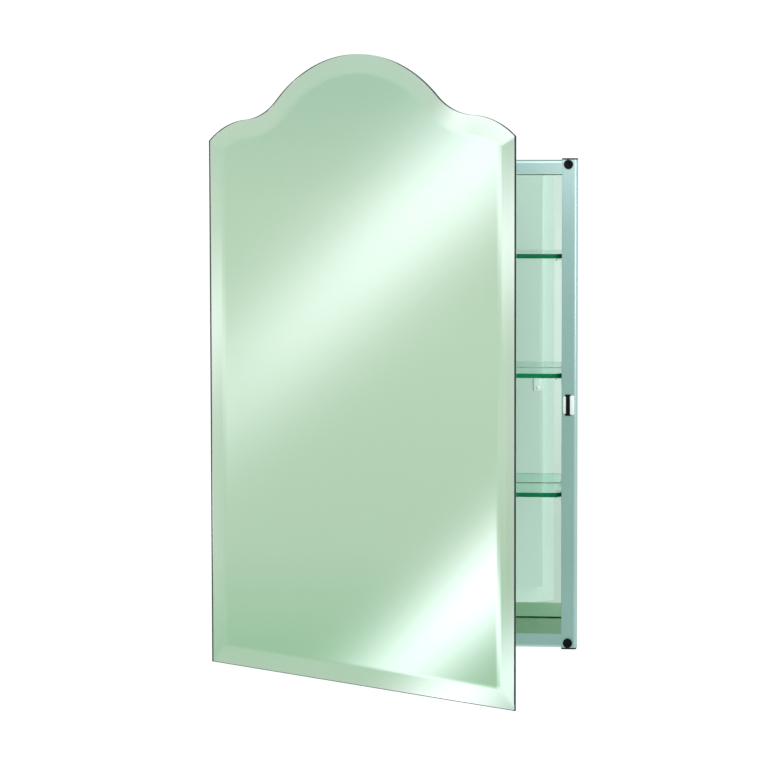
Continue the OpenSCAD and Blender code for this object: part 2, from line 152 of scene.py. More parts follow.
def maths(tree, operation, a, b=0.0):
    return add(tree, "ShaderNodeMath", {"operation": operation}, i0=a, i1=b).outputs[0]


def rgba(colour):
    return (*colour, 1.0)


def mix(tree, share, first, second, **settings):
    """Two colours mixed by a share from 0 to 1."""
    settings = {"data_type": "RGBA", **settings}
    return add(tree, "ShaderNodeMix", settings, i0=share, i6=first, i7=second).outputs[2]


# %% [markdown]
# ## Studio light
# A mirror shows what stands round it, so the surroundings are part of its finish. The world gives a
# soft grey-green all round, paler in front and nearly white at the right, where the open side of the
# cabinet takes its light from. The camera itself sees plain white behind the object.

# %% Mix the world
world = bpy.data.worlds.new("studio")
world.use_nodes = True
bpy.context.scene.world = world
sky = world.node_tree
sky.nodes.clear()
look = add(sky, "ShaderNodeTexCoord").outputs["Generated"]


def ramp(tree, value, low, high, stops):
    """Colours by a value: low and high are the ends, and each stop is (value, colour)."""
    share = add(tree, "ShaderNodeMapRange", Value=value, From_Min=low, From_Max=high).outputs[0]
    node = add(tree, "ShaderNodeValToRGB", Fac=share)
    points = node.color_ramp.elements
    while len(points) < len(stops):
        points.new(0.5)
    for point, (place, colour) in zip(points, stops):
        point.position, point.color = (place - low) / (high - low), rgba(colour)
    return node.outputs[0]


rise = add(sky, "ShaderNodeSeparateXYZ", Vector=look).outputs["Z"]
ALL_ROUND = [(-0.5, (0.44, 0.53, 0.46)), (-0.1, (0.54, 0.62, 0.56)), (0.1, (0.60, 0.67, 0.62)),
             (0.5, (0.66, 0.71, 0.68))]
IN_FRONT = [(-0.30, (0.50, 0.64, 0.56)), (-0.14, (0.56, 0.70, 0.62)), (-0.09, (0.70, 0.83, 0.77)),
            (-0.04, (0.77, 0.90, 0.84)), (0.0, (0.71, 0.85, 0.79)), (0.30, (0.66, 0.78, 0.73))]
AT_RIGHT, BACKDROP = (0.98, 1.04, 1.04), 1.05
air = ramp(sky, rise, -0.5, 0.5, ALL_ROUND)
front = ramp(sky, rise, -0.3, 0.3, IN_FRONT)


def facing(direction, start, full):
    """Rises softly from 0 to 1 as a direction comes closer to the given one."""
    dot = add(sky, "ShaderNodeVectorMath", {"operation": "DOT_PRODUCT"}, i0=look, i1=direction)
    return add(sky, "ShaderNodeMapRange", {"interpolation_type": "SMOOTHSTEP"},
               Value=dot.outputs["Value"], From_Min=start, From_Max=full).outputs[0]


glow = mix(sky, facing((0, -1, 0), 0.6, 0.95), air, front)
glow = mix(sky, facing((1, 0, 0), 0.16, 0.48), glow, rgba(AT_RIGHT))
around = add(sky, "ShaderNodeBackground", Color=glow, Strength=1.0).outputs[0]
behind = add(sky, "ShaderNodeBackground", Color=rgba((1, 1, 1)), Strength=BACKDROP).outputs[0]
seen = add(sky, "ShaderNodeLightPath").outputs["Is Camera Ray"]
both = add(sky, "ShaderNodeMixShader", i0=seen, i1=around, i2=behind).outputs[0]
add(sky, "ShaderNodeOutputWorld", Surface=both)
print("world nodes:", len(sky.nodes))

# %% [markdown]
# ## The card beside the mirror
# From the front the mirror is meant to show two soft diagonal bands, which this scene gets from a
# stage card and not from plain light. A large upright card stands at the left of the door, faces it
# and glows, with two bands of light drawn on it. Each band is a straight line whose light falls off
# to both sides as a bell curve. Its distance, slopes and colours were fitted until the bands in the
# flat and in the bevel fell where they were wanted, so they say nothing about a real room. The card
# isn't part of the cabinet. The camera and matt surfaces don't see it, but every glossy one does.


# %% Build the card
def bell(tree, along, up, slope, height, width):
    """Light round the line up = height + slope * along, in metres on the card."""
    off = maths(tree, "SUBTRACT", up, maths(tree, "MULTIPLY", along, slope))
    off = maths(tree, "DIVIDE", maths(tree, "SUBTRACT", off, height), width)
    return maths(tree, "EXPONENT", maths(tree, "MULTIPLY", maths(tree, "MULTIPLY", off, off), -1.0))


CARD_AT, CARD_FACES = Vector((-0.8496, -0.4652, 0.04)), Vector((0.9553, 0.2956, 0.0))
CARD_HALF = 0.95
card_material = bpy.data.materials.new("studio_card")
card_material.use_nodes = True
tree = card_material.node_tree
tree.nodes.clear()
spot = add(tree, "ShaderNodeSeparateXYZ", Vector=add(tree, "ShaderNodeTexCoord").outputs["Object"])
along, up = spot.outputs["X"], spot.outputs["Y"]
CARD_STOPS = [(-0.60, (0.43, 0.58, 0.45)), (-0.45, (0.435, 0.59, 0.460)),
              (-0.308, (0.583, 0.669, 0.584)), (-0.02, (0.645, 0.718, 0.635)),
              (0.171, (0.625, 0.698, 0.618)), (0.314, (0.518, 0.633, 0.569)), (0.45, (0.47, 0.60, 0.53))]
BAND_COLOUR = (1.0, 0.84, 1.10)
field = ramp(tree, up, -0.8, 0.8, CARD_STOPS)


def band(slope, height, width, start, weak, strong):
    """A bell-shaped band that grows from weak to strong between start and the card's far side."""
    strength = add(tree, "ShaderNodeMapRange", Value=along, From_Min=start, From_Max=-0.17,
                   To_Min=weak, To_Max=strong).outputs[0]
    return maths(tree, "MULTIPLY", bell(tree, along, up, slope, height, width), strength)


upper = band(-0.935, 0.081, 0.105, 0.16, 0.25, 0.66)
lower = band(-0.945, -0.527, 0.080, 0.10, 0.50, 0.90)
light = mix(tree, maths(tree, "ADD", upper, lower), field, rgba(BAND_COLOUR),
            blend_type="ADD", clamp_factor=False)
shine = add(tree, "ShaderNodeEmission", Color=light, Strength=1.0).outputs[0]
add(tree, "ShaderNodeOutputMaterial", Surface=shine)

card_mesh = bmesh.new()
bmesh.ops.create_grid(card_mesh, x_segments=4, y_segments=4, size=CARD_HALF)
card_data = bpy.data.meshes.new("studio_card")
card_mesh.to_mesh(card_data)
card_data.materials.append(card_material)
card = show("studio_card", card_data)
upward = Vector((0, 0, 1))
turn = Matrix((upward.cross(CARD_FACES), upward, CARD_FACES)).transposed().to_4x4()
card.matrix_world = Matrix.Translation(CARD_AT) @ turn
card.visible_camera = card.visible_diffuse = card.visible_shadow = False
print("card faces", [round(v, 2) for v in CARD_FACES])

# %% [markdown]
# Three soft lamps add direction. One hangs high in front, so the frame is brighter towards the top.
# A small one stands close at the right, and its light falls off across the back of the door. A weak
# one at the back keeps the rear from going flat.


# %% Add the soft lamps and the floor
def soft_lamp(name, place, target, size, power, colour=(1, 1, 1)):
    data = bpy.data.lights.new(name, "AREA")
    data.shape, data.size, data.energy, data.color = "SQUARE", size, power, colour
    lamp = show(name, data)
    lamp.location = place
    lamp.rotation_euler = (Vector(target) - Vector(place)).to_track_quat("-Z", "Y").to_euler()


soft_lamp("lamp_high", (0.27, -0.52, 0.50), (0.17, -0.1, 0.24), 0.45, 1.9, (1.0, 0.80, 0.90))
soft_lamp("lamp_right", (0.62, -0.36, 0.18), (0.05, -0.2, 0.05), 0.25, 0.70)
soft_lamp("lamp_back", (-0.7, 1.7, 1.0), (0, 0, 0), 1.2, 2.0)

FLOOR_BELOW, FLOOR_RADIUS = 0.9, 2.2
floor_z = cad_bounds[0].z - FLOOR_BELOW
floor_mesh = bmesh.new()
bmesh.ops.create_circle(floor_mesh, cap_ends=True, segments=96, radius=FLOOR_RADIUS)
floor_data = bpy.data.meshes.new("floor")
floor_mesh.to_mesh(floor_data)
floor = show("floor", floor_data)
floor.location.z = floor_z
print("floor at", round(floor_z, 3), "m")

# %% [markdown]
# ## Opaque finishes
# Metal, paint, plastic and rubber share one recipe with different numbers. Fine noise is the grain,
# broad noise is the slow change of tone over a large part, and both drive colour, roughness and a
# little bump. Stretching the grain along one direction turns it into the brushed lines of an
# extrusion. Wear is found with a Bevel node: near an edge its rounded normal leans away from the true
# one, so their dot product drops, and there the finish goes to its worn colour.


# %% The recipe for an opaque finish
NOISE_SPREAD = 0.22


def finish(name, light, dark, rough, metal=0.0, grain=900.0, stretch=(1, 1, 1), bump=0.02, worn=None,
           edge=0.4, wear=3.0, contrast=1.0, gloss=0.5, inner=None):
    """bump and edge are in mm; rough is the lowest and highest roughness. inner is (axis, limit in
    mm, colour) for the walls that are nearer to the middle than the limit; that colour is painted light and
    shade."""
    made = bpy.data.materials.new(name)
    made.use_nodes = True
    tree = made.node_tree
    shader = tree.nodes["Principled BSDF"]
    place = add(tree, "ShaderNodeTexCoord").outputs["Object"]
    drawn = add(tree, "ShaderNodeMapping", Vector=place, Scale=stretch).outputs[0]
    fine = add(tree, "ShaderNodeTexNoise", Vector=drawn, Scale=grain, Detail=3.0,
               Roughness=0.6).outputs[0]
    broad = add(tree, "ShaderNodeTexNoise", Vector=place, Scale=9.0, Detail=2.0).outputs[0]
    blend = maths(tree, "ADD", maths(tree, "MULTIPLY", fine, 0.5), maths(tree, "MULTIPLY", broad, 0.5))
    spread = NOISE_SPREAD / contrast
    tone = add(tree, "ShaderNodeMapRange", Value=blend, From_Min=0.5 - spread,
               From_Max=0.5 + spread).outputs[0]
    colour = mix(tree, tone, rgba(dark), rgba(light))
    roughness = add(tree, "ShaderNodeMapRange", Value=blend, From_Min=0.3, From_Max=0.7,
                    To_Min=rough[0], To_Max=rough[1]).outputs[0]
    if worn:
        rounded = add(tree, "ShaderNodeBevel", {"samples": 4}, Radius=edge * MM).outputs[0]
        true = add(tree, "ShaderNodeNewGeometry").outputs["Normal"]
        dot = add(tree, "ShaderNodeVectorMath", {"operation": "DOT_PRODUCT"}, i0=rounded, i1=true)
        rub = maths(tree, "MULTIPLY", maths(tree, "SUBTRACT", 1.0, dot.outputs["Value"]), wear)
        rub = add(tree, "ShaderNodeMath", {"operation": "MULTIPLY", "use_clamp": True},
                  i0=rub, i1=fine).outputs[0]
        colour = mix(tree, rub, colour, rgba(worn))
    # Walls nearer to the middle than the limit take a painted colour in place of the metal's own: painted
    # light and shade standing in for the green light between the mirrors.
    if inner:
        axis, limit, painted_wall_light = inner
        reach = maths(tree, "ABSOLUTE", add(tree, "ShaderNodeSeparateXYZ", Vector=place).outputs[axis])
        inside = maths(tree, "LESS_THAN", reach, limit * MM)
        colour = mix(tree, inside, colour, rgba(painted_wall_light))
    tree.links.new(colour, shader.inputs["Base Color"])
    tree.links.new(roughness, shader.inputs["Roughness"])
    shader.inputs["Metallic"].default_value = metal
    shader.inputs["Specular IOR Level"].default_value = gloss
    height = add(tree, "ShaderNodeBump", Strength=0.6, Distance=bump * MM, Height=fine).outputs[0]
    tree.links.new(height, shader.inputs["Normal"])
    return made


# %% [markdown]
# ## Finishes of the frame and its fittings
# The frame is satin anodised aluminium. Its jambs are drawn upright and its rails lie flat, so the
# same metal gets its lines along Z in one and along X in the other. Sheet steel is powder coated,
# and its fine orange peel is round noise about a millimetre across. The frame's inner walls get a
# greener tone, and the limit between them and the faces lies a little past the wall. That tone is painted
# on, and stands in for the green light between the mirrors.

# %% Mix the opaque finishes
MIRROR_GAP, PAST_WALL = 0.5, 0.3
inner_z = box_mm("back_mirror")[1].z + MIRROR_GAP


def aluminium(name, stretch, axis, wall, painted_wall_light):
    return finish(name, (0.40, 0.565, 0.55), (0.37, 0.525, 0.51), (0.30, 0.42), metal=1.0, grain=1500,
                  stretch=stretch, bump=0.006, worn=(0.55, 0.66, 0.64), edge=0.3, wear=1.2,
                  inner=(axis, wall + PAST_WALL, painted_wall_light))


DRAWN_UPRIGHT, DRAWN_LEVEL = (1, 1, 0.01), (0.01, 1, 1)
# Each profile's inner walls take a painted colour: painted shade on the jambs' walls and on the sill,
# painted light on the underside of the top rail.
jamb_metal_painted_shade = aluminium("satin_aluminium_upright_painted_shade", DRAWN_UPRIGHT, "X", inner_x, (0.22, 0.38, 0.29))
top_rail_metal_painted_light = aluminium("satin_aluminium_level_painted_light", DRAWN_LEVEL, "Z", inner_z, (0.60, 0.80, 0.58))
sill_metal_painted_shade = aluminium("satin_aluminium_sill_painted_shade", DRAWN_LEVEL, "Z", inner_z, (0.235, 0.47, 0.25))
sheet_paint = finish("powder_coated_sheet", (0.63, 0.79, 0.70), (0.59, 0.76, 0.66), (0.32, 0.42),
                     grain=1100,
                     bump=0.012, worn=(0.90, 0.94, 0.92), edge=0.6, wear=1.5)
backing_paint = finish("mirror_backing_paint", (0.70, 0.86, 0.78), (0.67, 0.83, 0.75), (0.45, 0.6),
                       grain=700,
                       bump=0.008)
rivet_metal = finish("rivet_aluminium", (0.82, 0.85, 0.84), (0.66, 0.70, 0.69), (0.25, 0.42), metal=1.0,
                     grain=2600, bump=0.01, worn=(0.93, 0.95, 0.94), edge=0.2)
zinc = finish("zinc_plated_steel", (0.84, 0.88, 0.86), (0.70, 0.75, 0.73), (0.28, 0.42), metal=1.0,
              grain=2200, bump=0.008, worn=(0.92, 0.94, 0.94), edge=0.2)
strike_metal = finish("passivated_zinc", (0.66, 0.80, 0.73), (0.58, 0.73, 0.66), (0.42, 0.55), metal=1.0,
                      grain=1600, bump=0.008, worn=(0.80, 0.88, 0.84), edge=0.2)
hinge_metal = finish("brushed_hinge_steel", (0.74, 0.77, 0.75), (0.62, 0.66, 0.64), (0.24, 0.38), metal=1.0,
                     grain=2400, stretch=(1, 1, 0.02), bump=0.006, worn=(0.92, 0.94, 0.93), edge=0.25)
pole_metal = finish("nickel_plated_pole", (0.97, 0.99, 0.98), (0.92, 0.95, 0.94), (0.14, 0.26), metal=0.4,
                    grain=1800, bump=0.004, worn=(0.98, 0.99, 0.98), edge=0.2)
cap_plastic = finish("black_moulded_plastic", (0.004, 0.006, 0.006), (0.002, 0.003, 0.003),
                     (0.36, 0.54), grain=2600, bump=0.02, worn=(0.02, 0.025, 0.025), edge=0.25, gloss=0.12)
bumper_rubber = finish("black_rubber", (0.003, 0.003, 0.005), (0.0015, 0.0015, 0.003), (0.5, 0.68),
                       grain=3000, bump=0.02, worn=(0.012, 0.012, 0.016), edge=0.3, gloss=0.10)
ferrite = finish("sintered_ferrite", (0.004, 0.005, 0.005), (0.002, 0.003, 0.003), (0.45, 0.65), grain=2400,
                 bump=0.03, worn=(0.02, 0.025, 0.025), edge=0.3, contrast=1.6, gloss=0.10)
foam = finish("white_foam_tape", (0.86, 0.88, 0.82), (0.70, 0.74, 0.68), (0.8, 0.95), grain=2800, bump=0.08,
              contrast=1.6)
floor_paint = finish("pale_studio_floor", (0.93, 0.94, 0.93), (0.90, 0.91, 0.90), (0.6, 0.75),
                     grain=40, bump=0.2)
floor.data.materials.append(floor_paint)
floor_shader = floor_paint.node_tree.nodes["Principled BSDF"]
floor_shader.inputs["Emission Color"].default_value = rgba((1, 1, 1))
floor_shader.inputs["Emission Strength"].default_value = 0.3
print("opaque finishes:", len(bpy.data.materials))

# %% [markdown]
# ## Glass
# Clear glass is not colourless. Light that passes a few millimetres hardly changes, and light that
# travels along a sheet to its edge comes out deep green, because iron in the glass takes the red. A
# Volume Absorption shader does that for the faces. So little red is left at a shelf's edge that it
# looks solid, and it gets a finish of its own. Lamps can't find their way through refracting glass,
# so shadow rays meet a tinted clear shader instead.


# %% Mix the glass finishes
GLASS_IOR = 1.52


def glass(name, tint, density, shade, wave=0.0, smear=0.01):
    """tint is what the glass lets through, more strongly with density, per metre of path."""
    made = bpy.data.materials.new(name)
    made.use_nodes = True
    tree = made.node_tree
    shader = tree.nodes["Principled BSDF"]
    place = add(tree, "ShaderNodeTexCoord").outputs["Object"]
    smudge = add(tree, "ShaderNodeTexNoise", Vector=place, Scale=22.0, Detail=5.0,
                 Roughness=0.65).outputs[0]
    haze = add(tree, "ShaderNodeMapRange", Value=smudge, From_Min=0.52, From_Max=0.8,
               To_Min=0.0, To_Max=smear).outputs[0]
    tree.links.new(haze, shader.inputs["Roughness"])
    shader.inputs["Base Color"].default_value = rgba((1, 1, 1))
    shader.inputs["Transmission Weight"].default_value = 1.0
    shader.inputs["IOR"].default_value = GLASS_IOR
    swell = add(tree, "ShaderNodeTexNoise", Vector=place, Scale=7.0, Detail=1.0).outputs[0]
    tree.links.new(add(tree, "ShaderNodeBump", Strength=1.0, Distance=wave * MM, Height=swell).outputs[0],
                   shader.inputs["Normal"])
    lamp_ray = add(tree, "ShaderNodeLightPath").outputs["Is Shadow Ray"]
    clear = add(tree, "ShaderNodeBsdfTransparent", Color=rgba(shade)).outputs[0]
    surface = add(tree, "ShaderNodeMixShader", i0=lamp_ray, i1=shader.outputs[0], i2=clear).outputs[0]
    tree.links.new(surface, tree.nodes["Material Output"].inputs["Surface"])
    inside = add(tree, "ShaderNodeVolumeAbsorption", Color=rgba(tint), Density=density).outputs[0]
    tree.links.new(inside, tree.nodes["Material Output"].inputs["Volume"])
    return made


mirror_glass = glass("bevelled_mirror_glass", (0.45, 0.93, 0.51), 40.0, (0.9, 0.97, 0.92), wave=0.02)
back_glass = glass("back_mirror_glass", (0.45, 0.93, 0.60), 20.0, (0.9, 0.97, 0.92))
shelf_glass = glass("polished_shelf_glass", (0.06, 0.82, 0.58), 90.0, (0.92, 0.98, 0.94))
clip_plastic = glass("clear_moulded_plastic", (0.80, 0.97, 0.88), 60.0, (0.94, 0.98, 0.96), smear=0.05)
shelf_rim = finish("green_glass_edge", (0.0, 0.21, 0.075), (0.0, 0.10, 0.032), (0.12, 0.22),
                   grain=500, stretch=(0.2, 1, 1), bump=0.004, worn=(0.0, 0.24, 0.10), edge=0.4,
                   wear=1.0, gloss=0.12)
pane_rim = finish("dark_glass_edge", (0.002, 0.040, 0.022), (0.001, 0.022, 0.012), (0.15, 0.28), grain=600,
                  bump=0.004, worn=(0.02, 0.12, 0.08), edge=0.3, wear=1.0, gloss=0.15)
silver = finish("mirror_silvering", (0.95, 0.96, 0.95), (0.94, 0.95, 0.94), (0.0, 0.004), metal=1.0,
                grain=60, bump=0.0)
print("all finishes:", len(bpy.data.materials))

# %% [markdown]
# ## Mesh helpers
# Most parts are a flat outline pushed through a thickness, or a profile turned on an axis. Both are a
# few lines of bmesh. A bevel on every hard edge comes next, because no real edge is perfectly sharp
# and a thin highlight along it is what makes a small part look real.


# %% Build solids from outlines and profiles
def upright(u, v, depth):
    """Lays an outline in X and Z."""
    return (u, depth, v)


def level(u, v, depth):
    """Lays an outline in X and Y."""
    return (u, v, depth)


def quarter(steps):
    """The angles of a quarter turn."""
    return [math.pi / 2 * i / steps for i in range(steps + 1)]


def prism(outline, start, end, lay=upright):
    """A solid from start to end with this outline; lay(u, v, depth) gives the place of a point."""
    mesh = bmesh.new()
    rings = [[mesh.verts.new(lay(u, v, depth)) for u, v in outline] for depth in (start, end)]
    mesh.faces.new(rings[0])
    mesh.faces.new(list(reversed(rings[1])))
    for i in range(len(outline)):
        mesh.faces.new((rings[0][i - 1], rings[0][i], rings[1][i], rings[1][i - 1]))
    bmesh.ops.recalc_face_normals(mesh, faces=mesh.faces)
    return mesh


def box_solid(low, high):
    outline = [(low[0], low[2]), (high[0], low[2]), (high[0], high[2]), (low[0], high[2])]
    return prism(outline, low[1], high[1])


def turned(profile, steps=32):
    """A solid turned round Z from (radius, height) points, the first and last of them on the axis."""
    mesh = bmesh.new()
    rings = []
    for radius, height in profile:
        if radius < 1e-6:
            rings.append([mesh.verts.new((0, 0, height))])
        else:
            rings.append([mesh.verts.new((radius * math.cos(t), radius * math.sin(t), height))
                          for t in (2 * math.pi * i / steps for i in range(steps))])
    for a, b in zip(rings, rings[1:]):
        for i in range(steps):
            corners = [a[(i - 1) % len(a)], a[i % len(a)], b[i % len(b)], b[(i - 1) % len(b)]]
            mesh.faces.new(list(dict.fromkeys(corners)))
    bmesh.ops.recalc_face_normals(mesh, faces=mesh.faces)
    return mesh


def soften(mesh, radius, segments=3, angle=40):
    """Rounds every edge that is sharper than the angle."""
    hard = [e for e in mesh.edges if len(e.link_faces) == 2 and e.calc_face_angle() > math.radians(angle)]
    bmesh.ops.bevel(mesh, geom=hard, offset=radius, segments=segments, profile=0.5, affect="EDGES")
    return mesh


def gather(parts):
    """Several solids, each with the matrix that places it, as one mesh."""
    whole = bmesh.new()
    for part, matrix in parts:
        data = bpy.data.meshes.new("part")
        part.transform(matrix)
        if matrix.determinant() < 0:
            bmesh.ops.reverse_faces(part, faces=part.faces)
        part.to_mesh(data)
        part.free()
        whole.from_mesh(data)
        bpy.data.meshes.remove(data)
    return whole


def piece(name, mesh, body, materials, replaced, sharp=30, flat_over=None):
    """Shows a mesh made in mm as a part that rides on a body. Door parts are made closed and turned.
    Faces larger than flat_over mm2 are shaded flat, and edges sharper than sharp degrees stay sharp."""
    mesh.faces.index_update()
    flat = [f.index for f in mesh.faces if flat_over and f.calc_area() > flat_over]
    mesh.transform(Matrix.Scale(MM, 4))
    if body == "door":
        mesh.transform(door_turn)
    data = bpy.data.meshes.new(name)
    mesh.to_mesh(data)
    mesh.free()
    data.set_sharp_from_angle(angle=math.radians(sharp))
    for index in flat:
        data.polygons[index].use_smooth = False
    made = show(name, data)
    for material in materials:
        data.materials.append(material)
    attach(made, body)
    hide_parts(*replaced)
    size = [round(v / MM, 1) for v in made.dimensions]
    print(f"{name}: {len(data.polygons)} faces, {size} mm")


def shift(x, y, z):
    return Matrix.Translation((x, y, z))


# %% [markdown]
# Screw recesses, bolt holes and moulded ribs are made with solids too. One solid is cut from another
# or joined to it, and what is left is a single clean skin.


# %% Cut and join solids
def carve(base, tools, operation="DIFFERENCE"):
    """The base with every tool cut away, or joined to it with UNION."""
    objects = []
    for mesh in (base, *tools):
        data = bpy.data.meshes.new("part")
        bmesh.ops.recalc_face_normals(mesh, faces=mesh.faces)
        mesh.to_mesh(data)
        mesh.free()
        objects.append(show("part", data))
    for tool in objects[1:]:
        step = objects[0].modifiers.new("step", "BOOLEAN")
        step.operation, step.object, step.solver = operation, tool, "EXACT"
    bpy.context.view_layer.update()
    ready = objects[0].evaluated_get(bpy.context.evaluated_depsgraph_get())
    whole = bmesh.new()
    whole.from_mesh(ready.to_mesh())
    ready.to_mesh_clear()
    for made in objects:
        data = made.data
        bpy.data.objects.remove(made)
        bpy.data.meshes.remove(data)
    return whole


def placed(mesh, matrix):
    mesh.transform(matrix)
    return mesh


print("cutting tools ready")

# %% [markdown]
# ## The outline of the mirror
# The top is an arch between two shoulders. Three arcs on each side make it: shoulder, hollow cove and
# crown. Two arcs that touch share a tangent when the distance between their centres is the sum of
# their radii, so the cove's centre is where two circles round the other centres cross. Moving the
# outline inward is then easy: outer arcs shrink by the distance and the hollow one grows by it.

# %% Find the arcs and draw the outline
glass_low, glass_high = closed_box("mirror_glass")
half_w, side_z = glass_high.x, -glass_low.z
ARCH_RISE = glass_high.z - side_z
SHOULDER_R, SHOULDER_RISE, COVE_R, CROWN_R = 89.0, 21.5, 68.0, 151.0
shoulder_at = Vector((-half_w + math.sqrt(SHOULDER_R ** 2 - (SHOULDER_R - SHOULDER_RISE) ** 2),
                      side_z + SHOULDER_RISE - SHOULDER_R))
crown_at = Vector((0, side_z + ARCH_RISE - CROWN_R))
span = crown_at - shoulder_at
reach_a, reach_b = SHOULDER_R + COVE_R, CROWN_R + COVE_R
share = (reach_a ** 2 - reach_b ** 2 + span.length_squared) / (2 * span.length)
along = span.normalized()
across = Vector((-along.y, along.x))
cove_at = shoulder_at + share * along + math.sqrt(reach_a ** 2 - share ** 2) * across


def heading(v):
    return math.atan2(v.y, v.x)


def arc(centre, radius, start, end, steps):
    turns = [start + (end - start) * i / steps for i in range(steps + 1)]
    return [centre + radius * Vector((math.cos(t), math.sin(t))) for t in turns]


def mirror_outline(inset):
    """Points of the outline, moved inward by a distance, with the same number of points each time."""
    to_cove, to_crown = heading(cove_at - shoulder_at), heading(crown_at - cove_at)
    corner = math.acos((-half_w + inset - shoulder_at.x) / (SHOULDER_R - inset))
    left = [Vector((-half_w + inset, -side_z + inset))]
    left += arc(shoulder_at, SHOULDER_R - inset, corner, to_cove, 24)
    left += arc(cove_at, COVE_R + inset, to_cove - math.pi, to_crown, 32)[1:]
    left += arc(crown_at, CROWN_R - inset, to_crown + math.pi, math.pi / 2, 40)[1:]
    return left + [Vector((-p.x, p.y)) for p in reversed(left[:-1])]


rim_points = mirror_outline(0)
print("outline points:", len(rim_points), "cove centre", [round(v, 1) for v in cove_at])

# %% [markdown]
# ## The bevelled mirror
# It is one sheet of glass. The front is ground down round the edge into a wide bevel, and the line
# where the bevel meets the flat is polished softly, so a few rings round it off. The rear face is
# silvered, and a ray enters the glass, meets the silver from inside and leaves again, which makes
# the doubled lines of a real bevelled mirror. The flat faces stay flat shaded, so that nothing bends
# the reflection. The rim is ground and sealed, so it is dark green. A thin coat of paint covers the
# silver at the back.

# %% Build the mirror pane
BEVEL_W, RIM_T, PAINT_T, PAINT_GAP, PAINT_IN, ARRIS = 20.0, 3.0, 0.10, 0.01, 0.25, 0.35
SOFT, SOFT_RINGS, RIM_RINGS, LARGE = 1.6, 5, 2, 20000
glass_front, glass_back = glass_low.y, glass_high.y - PAINT_T - PAINT_GAP
drop = glass_high.y - glass_front - RIM_T


def bevel_depth(inset):
    """How far the surface lies behind the flat front at a distance from the rim."""
    slope = drop / BEVEL_W
    past = inset - (BEVEL_W - SOFT)
    if past <= 0:
        return drop - slope * inset
    return slope * (2 * SOFT - past) ** 2 / (4 * SOFT) if past < 2 * SOFT else 0.0


widths = [ARRIS] + [BEVEL_W - SOFT + 2 * SOFT * k / SOFT_RINGS for k in range(SOFT_RINGS + 1)]
insets = [(ARRIS, glass_back), (0, glass_back - ARRIS), (0, glass_high.y - RIM_T + ARRIS)]
insets += [(w, glass_front + bevel_depth(w)) for w in widths]
pane = bmesh.new()
rings = [[pane.verts.new((p.x, y, p.y)) for p in mirror_outline(w)] for w, y in insets]
for k, (a, b) in enumerate(zip(rings, rings[1:])):
    for i in range(len(a)):
        face = pane.faces.new((a[i - 1], a[i], b[i], b[i - 1]))
        face.material_index = 2 if k < RIM_RINGS else 0
rear = pane.faces.new(rings[0])
rear.material_index = 1
pane.faces.new(rings[-1])
bmesh.ops.recalc_face_normals(pane, faces=pane.faces)
piece("mirror_pane", pane, "door", [mirror_glass, silver, pane_rim], ["mirror_glass"],
      sharp=4, flat_over=LARGE)
paint = prism([tuple(p) for p in mirror_outline(PAINT_IN)], glass_high.y - PAINT_T, glass_high.y)
piece("mirror_backing", paint, "door", [backing_paint], ["mirror_glass"],
      flat_over=LARGE)

# %% [markdown]
# ## The mirror inside
# It is a plain sheet that fills the opening, silvered at the back like the door. Its glass makes the
# thin dark line where it meets the floor of the cabinet.

# %% Build the back mirror
BEHIND_SILVER = 0.05
low, high = box_mm("back_mirror")
pane = soften(box_solid(low, (high.x, high.y - BEHIND_SILVER, high.z)), 0.3, 1)
pane.normal_update()
for face in pane.faces:
    if face.normal.y > 0.99:
        face.material_index = 1
piece("back_mirror_pane", pane, "body", [back_glass, silver], ["back_mirror"],
      flat_over=LARGE)

# %% [markdown]
# ## Shelves
# Each shelf is a sheet of glass with rounded front corners and polished edges. The small chamfers
# along its edges are ground before polishing, and they catch a thin line of light.


# %% Build the shelves
def shelf_outline(low, high, radius, steps=10):
    points = [(high.x, high.y), (low.x, high.y)]
    for centre_x, start in ((low.x + radius, math.pi), (high.x - radius, 1.5 * math.pi)):
        points += [(centre_x + radius * math.cos(start + t),
                    low.y + radius + radius * math.sin(start + t)) for t in quarter(steps)]
    return points


SHELF_CORNER, SHELF_CHAMFER = 10.0, 0.45
SHELF_NAMES = ("top", "middle", "bottom")
for name in SHELF_NAMES:
    low, high = box_mm(f"shelf_{name}")
    sheet = prism(shelf_outline(low, high, SHELF_CORNER), low.z, high.z, level)
    soften(sheet, SHELF_CHAMFER, 2)
    sheet.normal_update()
    for face in sheet.faces:
        face.material_index = 0 if abs(face.normal.z) > 0.9 else 1
    piece(f"glass_shelf_{name}", sheet, f"{name}_shelf", [shelf_glass, shelf_rim],
          [f"shelf_{name}"], flat_over=10000)

# %% [markdown]
# ## Shelf clips
# A clip is clear moulded plastic. A peg goes into a hole of the jamb, a plate lies against the wall,
# and a ledge with a raised tip carries the shelf. Two thin webs brace the ledge. Each shelf rests on
# four of them, and left and right clips are mirror images.

# %% Mould one clip and place twelve
CLIP_L, CLIP_W, CLIP_T, CLIP_TIP = 8.0, 9.0, 1.6, 1.3
WEB_T, WEB_IN, WEB_INSET, WEB_SHORT = 1.4, 2.8, 0.1, 0.2
PEG_D, PEG_UP, PEG_REACH, PEG_LEAD, PEG_TAPER = 4.8, 3.6, 2.8, 0.5, 0.4


